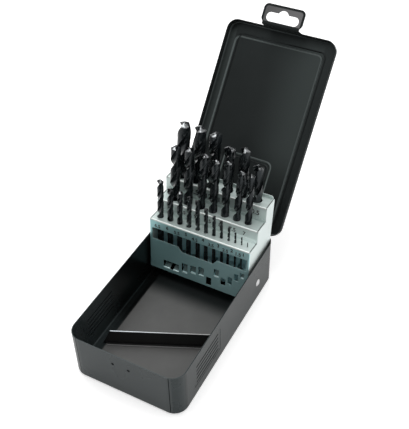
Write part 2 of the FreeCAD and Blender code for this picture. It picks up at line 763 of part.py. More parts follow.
tail_inside = rack_half - d.sheet - d.washer_clearance
crown_outside = tray_half + d.rivet_crown
rivets = both_sides("pivot_rivets", [
    (tail_inside - d.rivet_crown, 0), (crown_outside, 0),
    (crown_outside, d.rivet_head / 2), (crown_outside - d.rivet_crown / 2, d.rivet_head * CROWN_SHARE),
    (tray_half, d.rivet_head), (tray_half, d.rivet_radius), (tail_inside, d.rivet_radius),
    (tail_inside, d.rivet_tail), (tail_inside - d.rivet_crown, d.rivet_tail)])
washers = both_sides("pivot_washers", [
    (rack_half + d.washer_clearance, d.rivet_radius), (tray_half - d.sheet, d.rivet_radius),
    (tray_half - d.sheet, d.washer_radius), (rack_half + d.washer_clearance, d.washer_radius)])


# The drill bits: plain shanks and bodies with a ground point, standing in their rows

def drill_bit(bit, tread, seat):
    body = new_body(bit.name)
    radius = bit.diameter / 2
    chamfer = bit.diameter * CHAMFER_SHARE
    shoulder = bit.length - radius * (1 / math.tan(math.radians(POINT_ANGLE / 2)))
    sketch = new_sketch(body, bit.name + "_sketch", "XZ_Plane", 0)
    outline(sketch, [(0, 0), (radius - chamfer, 0), (radius, chamfer),
                     (radius, shoulder), (0, bit.length)])
    feature = body.newObject("PartDesign::Revolution", bit.name + "_turned")
    feature.Profile = sketch
    feature.ReferenceAxis = (sketch, ["V_Axis"])
    feature.Angle = 360
    tilt = math.radians(bit.tilt)
    depth = (tread.value - bit.stop.value) / math.cos(tilt)
    foot = Vector(bit.place.value - depth * math.sin(tilt), seat.value, tread.value - depth * math.cos(tilt))
    body.Placement = rack_here * Placement(foot, Rotation(Vector(0, 1, 0), bit.tilt))
    return body


bits = [drill_bit(bit, tread, seat)
        for row, tread, seat in ((low_row, d.low_tread, low_seat), (middle_row, d.middle_tread, middle_seat),
                                 (top_row, d.top_tread, top_seat))
        for bit in row]

# Checks, then one file for each sub-part

pieces = [tray, tip_rest, lid, hinge_pin, frame, middle_tier, top_tier, rivets, washers, *bits]
doc.recompute()
failed = [thing.Label for thing in doc.Objects if "Invalid" in thing.State or "Error" in thing.State]
if failed:
    raise SystemExit(f"these objects failed: {failed}")
for feature in doc.Objects:
    if feature.isDerivedFrom("PartDesign::FeatureAddSub") and feature.BaseFeature:
        if abs(feature.Shape.Volume - feature.BaseFeature.Shape.Volume) < CLOSE:
            raise SystemExit(f"{feature.Label} changes nothing")
for piece in pieces:
    if piece.Shape.isNull() or not piece.Shape.isValid():
        raise SystemExit(f"{piece.Label} has no valid shape")

os.makedirs("parts", exist_ok=True)
for piece in pieces:
    piece.Shape.exportStep(f"parts/{piece.Label}.step")
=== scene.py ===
import json
import math

import bmesh
import bpy
from mathutils import Matrix, Vector


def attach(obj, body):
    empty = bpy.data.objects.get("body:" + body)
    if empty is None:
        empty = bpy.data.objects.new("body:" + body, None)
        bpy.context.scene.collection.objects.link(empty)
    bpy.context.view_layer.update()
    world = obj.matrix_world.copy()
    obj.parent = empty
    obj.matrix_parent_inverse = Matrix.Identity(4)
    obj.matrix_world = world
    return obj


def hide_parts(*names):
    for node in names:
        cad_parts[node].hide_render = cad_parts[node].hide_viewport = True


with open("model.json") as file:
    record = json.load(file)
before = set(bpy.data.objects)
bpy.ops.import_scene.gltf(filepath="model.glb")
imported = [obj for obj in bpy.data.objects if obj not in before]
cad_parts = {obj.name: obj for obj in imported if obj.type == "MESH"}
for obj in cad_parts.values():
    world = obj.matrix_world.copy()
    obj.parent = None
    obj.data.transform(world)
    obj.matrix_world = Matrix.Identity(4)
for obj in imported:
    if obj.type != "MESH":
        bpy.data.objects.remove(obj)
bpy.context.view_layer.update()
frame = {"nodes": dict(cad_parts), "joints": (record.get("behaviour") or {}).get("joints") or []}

# The tray
# A tub pressed from black powder-coated sheet steel, welded at its front corners, with grips in its sides.
# Its coat is satin with a fine orange peel. The raised floor is painted paler and matt, dark lines mark the
# front seams, and painted shade and light lie on the walls, the floor, the grip grooves and the dents.

MM = 0.001
# the tray's front edge lies this far in front of the frame's origin
MIDDLE = 169.3 * MM


class Value:
    """A socket of a node. An expression on values adds its Math nodes."""

    def __init__(self, nodes, socket):
        self.nodes = nodes
        self.socket = socket

    def math(self, operation, other=0.0):
        return self.nodes.add("ShaderNodeMath", {"operation": operation}, {0: self, 1: other})

    def __add__(self, other):
        return self.math("ADD", other)

    def __sub__(self, other):
        return self.math("SUBTRACT", other)

    def __rsub__(self, other):
        return self.nodes.add("ShaderNodeMath", {"operation": "SUBTRACT"}, {0: other, 1: self})

    def __mul__(self, other):
        return self.math("MULTIPLY", other)

    def __truediv__(self, other):
        return self.math("DIVIDE", other)

    def __abs__(self):
        return self.math("ABSOLUTE")

    def power(self, other):
        return self.math("POWER", other)

    def fraction(self):
        return self.math("FRACT")

    def least(self, other):
        return self.math("MINIMUM", other)

    def most(self, other):
        return self.math("MAXIMUM", other)

    def rise(self, low, high):
        """0 below low, 1 above high, and a smooth step between them."""
        ends = {"Value": self, "From Min": low, "From Max": high}
        return self.nodes.add("ShaderNodeMapRange", {"interpolation_type": "SMOOTHSTEP"}, ends)

    def within(self, low, high, edge):
        """1 between low and high, 0 beyond them, with soft edges."""
        return self.rise(low - edge, low + edge) * (1 - self.rise(high - edge, high + edge))

    __radd__ = __add__
    __rmul__ = __mul__


class Nodes:
    """The nodes of one material, of the room or of a shape."""

    def __init__(self, tree):
        self.tree = tree

    def feed(self, socket, item):
        """Link a value into a socket, or write a plain number or colour there."""
        if isinstance(item, Value):
            self.tree.links.new(item.socket, socket)
        else:
            socket.default_value = item

    def add(self, kind, settings=None, sockets=None, output=0):
        """Any node: its settings first, then the values or links of its sockets."""
        made = self.tree.nodes.new(kind)
        for name, item in (settings or {}).items():
            setattr(made, name, item)
        for name, item in (sockets or {}).items():
            self.feed(made.inputs[name], item)
        return Value(self, made.outputs[output])

    def axes(self, coordinates):
        """The three axes of one kind of coordinates."""
        here = self.add("ShaderNodeTexCoord", output=coordinates)
        split = self.add("ShaderNodeSeparateXYZ", sockets={"Vector": here})
        return [Value(self, socket) for socket in split.socket.node.outputs]


class Finish(Nodes):
    """One material, with the few calls that its expressions are written in."""

    def __init__(self, name, **settings):
        self.material = bpy.data.materials.new(name)
        self.material.use_nodes = True
        super().__init__(self.material.node_tree)
        self.shader = self.tree.nodes["Principled BSDF"]
        self.set(**settings)

    def set(self, **settings):
        """Each shader socket by its name in small letters, such as base_color."""
        for name, item in settings.items():
            socket = name.replace("_", " ").title().replace("Ior", "IOR")
            self.feed(self.shader.inputs[socket], item)

    def place(self):
        """How far a point lies right of the middle, behind the tray's front edge, and above the ground."""
        across, back, height = self.axes("Object")
        return across, back + MIDDLE, height

    def noise(self, per_metre, detail=2.0, roughness=0.5):
        """Soft clouds, 0 to 1."""
        here = self.add("ShaderNodeTexCoord", output="Object")
        sockets = {"Vector": here, "Scale": per_metre, "Detail": detail, "Roughness": roughness}
        return self.add("ShaderNodeTexNoise", sockets=sockets, output="Fac")

    def blend(self, share, first, second):
        """A colour between two, by a share from 0 to 1."""
        return self.add("ShaderNodeMix", {"data_type": "RGBA"}, {0: share, 6: first, 7: second}, output=2)

    def bump(self, height, distance, strength=1.0):
        sockets = {"Height": height, "Distance": distance, "Strength": strength}
        self.set(normal=self.add("ShaderNodeBump", sockets=sockets))

    def put_on(self, *nodes):
        for name in nodes:
            piece = frame["nodes"][name]
            piece.data.materials.clear()
            piece.data.materials.append(self.material)


def grey(level, tint=(1.0, 1.0, 1.0)):
    """A colour from its level in the picture, 0 to 255, turned to linear light."""
    share = level / 255
    linear = share / 12.92 if share <= 0.04045 else ((share + 0.055) / 1.055) ** 2.4
    return (linear * tint[0], linear * tint[1], linear * tint[2], 1.0)


TRAY_HALF = 58.2 * MM
# the raised floor, and the stretch before its back end where painted shade under the rack takes over from its
# paler paint
FIELD_HALF = 46.5 * MM
FIELD_FRONT = 12.0 * MM
FIELD_BACK = 142.5 * MM
FIELD_SHADE_START = FIELD_BACK - 31 * MM
FIELD_SHADE_FULL = FIELD_BACK - 8 * MM
SHADE_FRONT = 50 * MM
SHADE_BACK = 90 * MM
GRIP_FRONT = 31 * MM
GRIP_BACK = 73 * MM
GRIP_LOW = 16.2 * MM
GRIP_HIGH = 39.4 * MM
GROOVE_LOW = 17.2 * MM
GROOVE_PITCH = 5.3 * MM
GROOVE_SHARE = 0.28
GROOVE_SOFT_SHARE = 0.06
SEAM = 47.5 * MM
SEAM_GAP = 0.7 * MM
DENTS = (-9.35 * MM, 6.95 * MM)
DENT_HEIGHT = 39.5 * MM
CRISP = 0.1 * MM
COAT_DARK = grey(40, (0.78, 1.0, 1.04))
COAT_PALE = grey(48, (0.80, 1.0, 1.04))
COAT_SIDE_SHADE = grey(24, (0.7, 1.0, 1.0))
COAT_SHADED = grey(12, (0.9, 1.0, 1.0))
COAT_FRONT_LIGHT = grey(62, (0.88, 1.0, 1.02))
FIELD_DARK = grey(86, (1.0, 0.98, 0.96))
FIELD_PALE = grey(98, (1.0, 0.98, 0.96))
SHADE_AND_SEAM_DARK = grey(4)

coat = Finish("tray_coat", specular_ior_level=0.26, specular_tint=(0.82, 0.98, 1.0, 1.0))
across, back, height = coat.place()
clouds = coat.noise(60, 4.0, 0.6)
paint = coat.blend(clouds, COAT_DARK, COAT_PALE)
# painted shade: the outer sides are painted darker, and the inside is painted darkest under the rack
side = abs(across).rise(TRAY_HALF - 0.6 * MM, TRAY_HALF - 0.4 * MM)
paint = coat.blend(side, paint, COAT_SIDE_SHADE)
paint = coat.blend((1 - side) * back.rise(SHADE_FRONT, SHADE_BACK), paint, COAT_SHADED)
# the raised floor is painted paler and matt, and painted shade under the rack fades that paler paint out
# towards its back end
field = (1 - abs(across).rise(FIELD_HALF - 1.2 * MM, FIELD_HALF + 1.2 * MM)) * back.within(
    FIELD_FRONT, FIELD_BACK, 0.9 * MM) * height.within(1.7 * MM, 2.4 * MM, 0.2 * MM)
pale_field = field * (1 - back.rise(FIELD_SHADE_START, FIELD_SHADE_FULL))
paint = coat.blend(pale_field, paint, coat.blend(clouds, FIELD_DARK, FIELD_PALE))
front = 1 - back.rise(1.0 * MM, 1.2 * MM)
# painted light: the front wall's outer face is painted paler
paint = coat.blend(front, paint, COAT_FRONT_LIGHT)
# painted shade darkens the grip grooves and the dents, and a dark line marks each front seam
stripe = ((height - GROOVE_LOW) / GROOVE_PITCH + 0.5).fraction()
stripe = stripe.within(0.5 - GROOVE_SHARE / 2, 0.5 + GROOVE_SHARE / 2, GROOVE_SOFT_SHARE)
groove = (stripe * height.within(GRIP_LOW, GRIP_HIGH, CRISP) * back.within(GRIP_FRONT, GRIP_BACK, 0.4 * MM)
          * abs(across).rise(TRAY_HALF - 1.0 * MM, TRAY_HALF - 0.9 * MM))
seam = abs(across).within(SEAM - SEAM_GAP / 2, SEAM + SEAM_GAP / 2, CRISP) * front
shade_and_seam = groove.most(seam * 0.9)
for dent in DENTS:
    reach = ((across - dent).power(2.0) + (height - DENT_HEIGHT).power(2.0)).power(0.5)
    shade_and_seam = shade_and_seam.most((1 - reach.rise(1.2 * MM, 1.8 * MM)) * front)
paint = coat.blend(shade_and_seam, paint, SHADE_AND_SEAM_DARK)
coat.set(base_color=paint, roughness=0.24 + coat.noise(25, 3.0) * 0.08 + field * 0.35 + shade_and_seam * 0.6)
coat.bump(coat.noise(1400), 0.004 * MM)
coat.put_on("tray")

# The strip across the floor
# A strip of the same sheet on a narrow foot, that the short bits' tips rest against.
# Its top edge carries a painted highlight, brightest at its left end, and the front of its foot a paler
# painted highlight.

REST_TOP = 20.0 * MM
REST_LEFT = -49.6 * MM
REST_FRONT = 39.3 * MM
REST_TURN = math.radians(24.1)
STRIP_PAINT = grey(18)
FOOT_HIGHLIGHT = grey(120)
EDGE_HIGHLIGHT_DIM = grey(166)
EDGE_HIGHLIGHT_BRIGHT = grey(226, (0.9, 0.98, 1.04))

strip = Finish("worn_strip", specular_ior_level=0.5)
across, back, height = strip.place()
# painted highlight: the top edge is painted pale, brightest at its left end, and the front of the foot is
# painted paler too
top_edge = height.rise(REST_TOP - 0.7 * MM, REST_TOP - 0.4 * MM)
edge_highlight = strip.blend(1 - across.rise(-45 * MM, 35 * MM), EDGE_HIGHLIGHT_DIM, EDGE_HIGHLIGHT_BRIGHT)
# how far a point stands out in front of the strip's face
out = (across - REST_LEFT) * math.sin(REST_TURN) - (back - REST_FRONT) * math.cos(REST_TURN)
foot = out.rise(2.0 * MM, 2.3 * MM)
strip.set(base_color=strip.blend(foot, strip.blend(top_edge, STRIP_PAINT, edge_highlight), FOOT_HIGHLIGHT),
          roughness=0.45 - top_edge * 0.12, metallic=top_edge * 0.35)
strip.put_on("tip_rest")

# The pin and the rivets
# Zinc-plated steel: the pin through the knuckles, the headed rivets the rack turns on, and the washers.
# They are bright, and dulled a little where they were handled.

zinc = Finish("zinc_plate", metallic=1.0, base_color=grey(210))
zinc.set(roughness=0.28 + zinc.noise(300, 3.0) * 0.2)
zinc.put_on("hinge_pin", "pivot_rivets", "pivot_washers")

# The lid
# A shallow pan pressed from the same sheet, with a bead round its panel and one near the hinge.
# A tongue with a hang tab is bent out of its front rim. Pressing leaves the panel slightly crowned.


def ring_distance(across, along, half, low, high, corner):
    """How far a point lies outside the outline of a rounded box, or, below 0, inside it."""
    beyond = abs(across) - (half - corner)
    past = abs(along - (low + high) / 2) - ((high - low) / 2 - corner)
    corner_reach = (beyond.most(0.0).power(2.0) + past.most(0.0).power(2.0)).power(0.5)
    return corner_reach + beyond.most(past).least(0.0) - corner


HINGE_BACK = 202.0 * MM
HINGE_HEIGHT = 48.6 * MM
OPEN = math.radians(129.6)
LID_HALF = 59.6 * MM
LID_REACH = 203.35 * MM
PANEL_CROWN = 1.6 * MM
CROWN_HALF = 46 * MM
# half width, near end, far end and corner of each bead, the side its painted highlight is on, and that
# highlight's level
BEADS = (((48.1 * MM, 7.6 * MM, 189.6 * MM, 5.6 * MM), 1.7 * MM, 88),
         ((26.2 * MM, 21.6 * MM, 68.6 * MM, 5.6 * MM), -1.7 * MM, 104))
# half width, near end, far end and corner of the hang tab, which sits a little right of the middle
TAB = (22.2 * MM, 190 * MM, 223.75 * MM, 5.0 * MM)
TAB_SHIFT = 1.0 * MM
LID_DARK = grey(20, (0.9, 1.0, 1.0))
LID_PALE = grey(28, (0.9, 1.0, 1.0))
LID_SHEEN = grey(52, (0.84, 1.0, 0.97))
BEAD_TINT = (0.86, 1.0, 0.98)
BEAD_SHADE = grey(6)
TAB_DARK = grey(80, (1.0, 0.95, 0.97))
TAB_PALE = grey(102, (1.0, 0.95, 0.97))
RIM_SHADE = grey(5)

lid_coat = Finish("lid_coat", specular_ior_level=0.45, specular_tint=(0.86, 1.0, 1.0, 1.0))
across, back, height = lid_coat.place()
# how far a point lies from the hinge, along the open lid
along = (back - HINGE_BACK) * -math.cos(OPEN) + (height - HINGE_HEIGHT) * math.sin(OPEN)
paint = lid_coat.blend(lid_coat.noise(40, 4.0, 0.6), LID_DARK, LID_PALE)
# painted sheen: the left border and the right of the panel are painted paler
left_border = 1 - across.rise(-51.5 * MM, -50.0 * MM)
right_panel = across.rise(-10 * MM, 44 * MM) * (1 - across.rise(45.5 * MM, 47.5 * MM))
sheen = (left_border * 0.9).most(right_panel * along.rise(30 * MM, 90 * MM))
paint = lid_coat.blend(sheen * (1 - along.rise(188 * MM, 200 * MM)), paint, LID_SHEEN)
# each bead has a painted highlight on one flank and painted shade on the other
for outline, flank, light in BEADS:
    highlit_flank = abs(ring_distance(across + flank, along + flank, *outline))
    shaded = abs(ring_distance(across - flank, along - flank, *outline))
    paint = lid_coat.blend(1 - highlit_flank.rise(0.4 * MM, 1.3 * MM), paint, grey(light, BEAD_TINT))
    paint = lid_coat.blend(1 - shaded.rise(0.3 * MM, 1.1 * MM), paint, BEAD_SHADE)
# the tab's face is painted paler, darker towards its left, inside an edge of painted shade
tab_face = along.rise(LID_REACH + 2.2 * MM, LID_REACH + 2.8 * MM) * (
    1 - ring_distance(across - TAB_SHIFT, along, *TAB).rise(-2.7 * MM, -1.9 * MM))
paint = lid_coat.blend(tab_face, paint, lid_coat.blend(across.rise(-20 * MM, 16 * MM), TAB_DARK, TAB_PALE))
# painted shade: the rims and the tab's edge are painted near black
side_rim = abs(across).rise(LID_HALF - 1.3 * MM, LID_HALF - 0.8 * MM)
front_rim = along.rise(LID_REACH - 1.2 * MM, LID_REACH - 0.7 * MM) * (1 - tab_face)
rim = side_rim.most(front_rim)
paint = lid_coat.blend(rim, paint, RIM_SHADE)
lid_coat.set(base_color=paint, roughness=0.27 + lid_coat.noise(25, 3.0) * 0.08 + tab_face * 0.2 + rim * 0.5)
crown = (across / CROWN_HALF).power(2.0) * -PANEL_CROWN
lid_coat.bump(crown + lid_coat.noise(1400) * (0.01 * MM), 1.0)
lid_coat.put_on("lid_pan")

# The rack
# Three steps of folded sheet with a thin pale blue-green zinc finish, spot-welded at their sides.
# It is satin, and mirrors the black tray in its upright faces and the light in its treads, with painted
# shade, light and highlights laid on its colour.

RACK_LEAN = math.radians(5.28)
RACK_BASE = 138.5 * MM
RACK_HALF = 54.4 * MM
# how far in each step's upright face lies, and how high its tread is, along the leaning rack
WALLS = (0.0, 15.7 * MM, 33.3 * MM)
TREADS = (76.4 * MM, 90.8 * MM, 106.85 * MM)
PLATE_DARK = grey(212, (0.86, 1.0, 0.97))
PLATE_PALE = grey(226, (0.88, 1.0, 0.97))
PLATE_RIGHT_LIGHT = grey(242, (0.9, 1.0, 0.98))
PLATE_SIDE_LIGHT = grey(238, (0.9, 1.0, 0.98))
FRONT_SHADE_LEFT = grey(206, (0.56, 0.98, 1.0))
FRONT_SHADE_MIDDLE = grey(196, (0.58, 0.98, 1.0))
FRONT_SHADE_RIGHT = grey(232, (0.62, 0.98, 1.0))
FLAP_SHADE = grey(112, (0.62, 1.0, 1.0))
INSIDE_LIGHT = grey(245, (0.58, 1.0, 1.06))
BEND_HIGHLIGHT = grey(216, (0.93, 1.0, 0.97))
GAP_DARK = grey(46, (1.4, 0.9, 0.6))

satin = Finish("rack_satin", specular_ior_level=0.5)
across, back, height = satin.place()
inward = (back - RACK_BASE) * math.cos(RACK_LEAN) - height * math.sin(RACK_LEAN)
upward = (back - RACK_BASE) * math.sin(RACK_LEAN) + height * math.cos(RACK_LEAN)
plate = satin.blend(satin.noise(80, 3.0), PLATE_DARK, PLATE_PALE)
# painted light: the lower right of the rack is painted paler, and so are its side plates
lower_right = across.rise(10 * MM, 50 * MM) * (1 - upward.rise(80 * MM, 82 * MM))
plate = satin.blend(lower_right, plate, PLATE_RIGHT_LIGHT)
plate = satin.blend(abs(across).rise(RACK_HALF - 0.1 * MM, RACK_HALF + 0.1 * MM), plate, PLATE_SIDE_LIGHT)
# painted shade and painted reflection: the front wall is painted darkest left of its middle and palest at its
# right end
wall_shade = satin.blend(across.rise(-50 * MM, -15 * MM), FRONT_SHADE_LEFT, FRONT_SHADE_MIDDLE)
wall_shade = satin.blend(across.rise(-15 * MM, 45 * MM), wall_shade, FRONT_SHADE_RIGHT)
front = (1 - inward.rise(0.3 * MM, 0.7 * MM)) * (1 - upward.rise(TREADS[0] - 0.8 * MM, TREADS[0] - 0.1 * MM))
plate = satin.blend(front, plate, wall_shade)
# the flaps under the bits are painted darker as painted shade, and the rest of the inside is painted pale as
# painted light
flap_shade = (inward.within(1.5 * MM, 14.8 * MM, 0.2 * MM) * (1 - upward.rise(45 * MM, 48 * MM))
        * (1 - abs(across).rise(RACK_HALF - 1.4 * MM, RACK_HALF - 0.4 * MM)))
inside = (inward.rise(1.0 * MM, 1.4 * MM) * (1 - upward.rise(70 * MM, 75 * MM))
          * (1 - abs(across).rise(RACK_HALF - 0.8 * MM, RACK_HALF - 0.2 * MM)))
plate = satin.blend(flap_shade, plate, FLAP_SHADE)
plate = satin.blend(inside * (1 - flap_shade), plate, INSIDE_LIGHT)
# a painted highlight runs along each tread's bend, and the gap at the tread's two ends is painted dark brown
for wall, tread in zip(WALLS, TREADS):
    bend = (inward.within(wall - 0.2 * MM, wall + 1.1 * MM, CRISP)
            * upward.within(tread - 1.2 * MM, tread + 0.2 * MM, CRISP))
    gap = (abs(across).within(RACK_HALF - 0.6 * MM, RACK_HALF + 0.2 * MM, CRISP)
           * inward.within(wall + 1.6 * MM, wall + 16 * MM, CRISP)
           * upward.within(tread - 0.9 * MM, tread + 0.3 * MM, CRISP))
    plate = satin.blend(bend, plate, BEND_HIGHLIGHT)
    plate = satin.blend(gap, plate, GAP_DARK)
satin.set(base_color=plate, metallic=0.55 - inside * 0.5, roughness=0.34 + satin.noise(40, 3.0) * 0.08)
satin.bump(satin.noise(700), 0.04 * MM, 0.35)
satin.put_on("rack_frame", "middle_tier", "top_tier")

# The size numbers
# Plain black numbers screen-printed on the rack's upright faces, one under each bit.
# The ink is a thin film, a little thicker than real so that it never sinks into the sheet.

# for each upright face: the size of its print, then each number, its place across and its height, in mm
PRINTS = (
    (5.4, (("6.5", -46.2, 69.5), ("6", -35.0, 71.1), ("5.5", -24.2, 69.3), ("5", -13.9, 71.6),
           ("4.5", -4.2, 69.1), ("4", 4.9, 72.1), ("3.5", 13.6, 69.4), ("3", 21.5, 71.7),
           ("2.5", 29.2, 68.9), ("2", 35.9, 71.5), ("1.5", 42.6, 69.8), ("1", 48.3, 71.4))),
    (6.0, (("10", -41.5, 84.0), ("9.5", -26.8, 84.0), ("9", -12.4, 84.0), ("8.5", 1.5, 84.0),
           ("8", 14.8, 84.0), ("7.5", 28.2, 84.1), ("7", 40.8, 83.9))),
    (7.4, (("13", -42.4, 99.0), ("12.5", -24.8, 99.0), ("12", -7.7, 99.0), ("11.5", 8.8, 99.0),
           ("11", 24.9, 99.0), ("10.5", 41.6, 98.9))),
)
# in mm: how far the film stands out from the sheet, half its thickness, and how much bolder the strokes print
FILM_OUT = 0.05
FILM_HALF = 0.01
FILM_BOLD = 0.13

ink = Finish("printed_ink", base_color=grey(14), roughness=0.5)
leaning = Matrix.Translation((0, RACK_BASE - MIDDLE, 0)) @ Matrix.Rotation(-RACK_LEAN, 4, "X")
numbers = bmesh.new()
for wall, (size, row) in zip(WALLS, PRINTS):
    for number, place_across, place_up in row:
        letters = bpy.data.curves.new("number", "FONT")
        letters.body = number
        letters.size = size
        letters.offset = FILM_BOLD
        letters.align_x = "CENTER"
        letters.align_y = "CENTER"
        letters.extrude = FILM_HALF
        shown = bpy.data.objects.new("number", letters)
        bpy.context.collection.objects.link(shown)
        bpy.context.view_layer.update()
        flat = bpy.data.meshes.new_from_object(shown.evaluated_get(bpy.context.evaluated_depsgraph_get()))
        bpy.data.objects.remove(shown)
        spot = Matrix.Translation((place_across, wall / MM - FILM_OUT, place_up))
        flat.transform(leaning @ Matrix.Scale(MM, 4) @ spot @ Matrix.Rotation(math.pi / 2, 4, "X"))
        numbers.from_mesh(flat)
        bpy.data.meshes.remove(flat)
print_mesh = bpy.data.meshes.new("size_numbers")
numbers.to_mesh(print_mesh)
numbers.free()
print_mesh.materials.append(ink.material)
size_numbers = bpy.data.objects.new("size_numbers", print_mesh)
bpy.context.collection.objects.link(size_numbers)
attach(size_numbers, "rack")

# The drill bits
# Twist drills rolled from high-speed steel and blackened in steam, with bright ground points.
# Each stands in its own hole, turned as it was dropped in, and is lifted out by hand.

# by diameter in mm: the standard length of the flutes in mm, and the bit's turn in its hole in degrees
BITS = {
    1: (12, 126), 1.5: (18, 36), 2: (24, 126), 2.5: (30, 54), 3: (33, 144),
    3.5: (39, 144), 4: (43, 144), 4.5: (47, 144), 5: (52, 126), 5.5: (57, 36),
    6: (57, 126), 6.5: (63, 90), 7: (69, 78), 7.5: (69, 100), 8: (75, 99),
    8.5: (75, 70), 9: (81, 72), 9.5: (81, 27), 10: (87, 0), 10.5: (87, 90),
    11: (94, 66), 11.5: (94, 108), 12: (101, 0), 12.5: (101, 72), 13: (101, 54),
}
HELIX = math.radians(30)
POINT = math.radians(59)
# the share of the standard length that the flutes cover here, and how many diameters they take to run out
FLUTE_COVER = 0.88
RUN_OUT = 0.9
# in radii: the hollow's own radius, and how far out its centre lies at full depth and on the plain shank
HOLLOW = 0.8
HOLLOW_DEEP = 1.04
HOLLOW_OUT = 1.8
# behind its margin, a land is ground back to this share of the radius
LAND_CLEARED = 0.965
# the foot's chamfer, in diameters, and what is left of the radius at its lower edge
CHAMFER = 0.06
CHAMFER_LEFT = 0.94
# the plain shank keeps this trace of the flutes, so that its rings have the same corners as theirs
SHANK_TRACE = 0.012
# how many corners a flute, a land and the land's margin have, and how many rings each stretch of a bit has
FLUTE_STEPS = 14
LAND_STEPS = 8
MARGIN_STEPS = 2
HALF_STEPS = FLUTE_STEPS + LAND_STEPS
CHAMFER_RINGS = 2
LEAST_FLUTE_RINGS = 8
POINT_RINGS = 5
# the gap between two rings of the flutes, in diameters, and the least that it is, in mm
RING_GAP = 0.09
LEAST_RING_GAP = 0.45
# the point's rings end this many of their steps short of its middle, where a small face closes it
POINT_LEFT = 0.6
SHARP_EDGE = math.radians(32)

oxide = Finish("black_oxide", metallic=0.5, specular_ior_level=0.5)
oxide.set(base_color=oxide.blend(oxide.noise(60), grey(20, (0.72, 1.0, 1.14)), grey(44, (0.74, 1.0, 1.12))),
          roughness=0.19 + oxide.noise(90) * 0.07)
ground = Finish("ground_point", metallic=1.0, roughness=0.2)
ground.set(base_color=ground.blend(ground.noise(400).rise(0.35, 0.7), grey(24, (0.9, 1.0, 1.02)),
                                   grey(150, (0.96, 1.0, 1.02))))

# a tube of rings that stands on the origin, with each corner put where a twist drill has it
shape = Nodes(bpy.data.node_groups.new("twist_drill", "GeometryNodeTree"))
shape.tree.interface.new_socket("Geometry", in_out="OUTPUT", socket_type="NodeSocketGeometry")
given = {}
for name in ("Diameter", "Length", "Flute Start", "Tip Turn", "Flute Rings"):
    kind = "NodeSocketInt" if name == "Flute Rings" else "NodeSocketFloat"
    given[name] = shape.tree.interface.new_socket(name, in_out="INPUT", socket_type=kind).identifier
diameter, length, start, tip_turn, flute_rings = [shape.add("NodeGroupInput", output=name) for name in given]


def pick(test, off, on):
    """One of two numbers: the second where the test is true."""
    sockets = {"Switch": test, "False": off, "True": on}
    return shape.add("GeometryNodeSwitch", {"input_type": "FLOAT"}, sockets)


# the corners are numbered ring by ring from the top one down, and round each ring: a flute, a land, and again
index = shape.add("GeometryNodeInputIndex")
top_ring = flute_rings + (CHAMFER_RINGS + POINT_RINGS)
ring = top_ring - (index / (2 * HALF_STEPS)).math("FLOOR")
step = index.math("MODULO", HALF_STEPS)
second_half = (index / HALF_STEPS).math("FLOOR").math("MODULO", 2)
radius = diameter / 2
shoulder = length - radius / math.tan(POINT)
height = start + (shoulder - start) * (ring - CHAMFER_RINGS).most(0).least(flute_rings) / flute_rings
depth = height.rise(start, start + diameter * RUN_OUT).most(SHANK_TRACE)
# across the drill lengths are in radii, and half a flute takes up one angle seen from the drill's middle
# and another seen from the hollow's
centre = HOLLOW_OUT + depth * (HOLLOW_DEEP - HOLLOW_OUT)
opening = ((centre * centre + (1 - HOLLOW ** 2)) / (centre * 2)).least(1.0).math("ARCCOSINE")
edge = opening.math("SINE").math("ARCTAN2", centre - opening.math("COSINE"))
round_hollow = edge * (step * (2 / FLUTE_STEPS) - 1)
round_land = opening + (math.pi - opening * 2) * (step - FLUTE_STEPS) / LAND_STEPS
land = pick(step.math("LESS_THAN", FLUTE_STEPS + MARGIN_STEPS), LAND_CLEARED, 1.0)
in_flute = step.math("LESS_THAN", FLUTE_STEPS)
x = pick(in_flute, land * round_land.math("COSINE"), centre - round_hollow.math("COSINE") * HOLLOW)
y = pick(in_flute, land * round_land.math("SINE"), round_hollow.math("SINE") * HOLLOW)
# rings shrink over the chamfer and the point, and the point is a cone
over_point = (ring - flute_rings - CHAMFER_RINGS).most(0) / (POINT_RINGS + POINT_LEFT)
scale = pick(ring.math("LESS_THAN", 1), 1 - over_point, CHAMFER_LEFT)
reach = (x * x + y * y).power(0.5) * scale
level = pick(ring.math("LESS_THAN", CHAMFER_RINGS), height, ring * diameter * CHAMFER)
on_cone = ring.math("GREATER_THAN", flute_rings + (CHAMFER_RINGS - 0.5))
level = pick(on_cone, level, shoulder + radius * (1 - reach) / math.tan(POINT))
turn = tip_turn + second_half * math.pi - (length - height) * (2 * math.tan(HELIX)) / diameter
corner = shape.add("ShaderNodeCombineXYZ", sockets={
    "X": (x * turn.math("COSINE") - y * turn.math("SINE")) * scale * radius,
    "Y": (x * turn.math("SINE") + y * turn.math("COSINE")) * scale * radius,
    "Z": level,
})
steel = shape.add("GeometryNodeMeshCylinder", {"fill_type": "NGON"},
                  {"Vertices": 2 * HALF_STEPS, "Side Segments": top_ring})
steel = shape.add("GeometryNodeSetPosition", sockets={"Geometry": steel, "Position": corner})
four_corners = shape.add("GeometryNodeInputMeshFaceNeighbors", output="Vertex Count").math("LESS_THAN", 4.5)
steel = shape.add("GeometryNodeSetShadeSmooth", sockets={"Geometry": steel, "Shade Smooth": four_corners})
steel = shape.add("GeometryNodeRealizeInstances", sockets={"Geometry": steel})
steel = shape.add("GeometryNodeSetMaterial", sockets={"Geometry": steel, "Material": oxide.material})
# a face's ring is the mean of its corners' rings
face_ring = shape.add("GeometryNodeFieldOnDomain", {"domain": "POINT", "data_type": "FLOAT"}, {"Value": ring})
sockets = {
    "Geometry": steel,
    "Selection": face_ring.math("GREATER_THAN", flute_rings + (CHAMFER_RINGS + 0.25)),
    "Material": ground.material,
}
steel = shape.add("GeometryNodeSetMaterial", sockets=sockets)
shape.feed(shape.tree.nodes.new("NodeGroupOutput").inputs["Geometry"], steel)


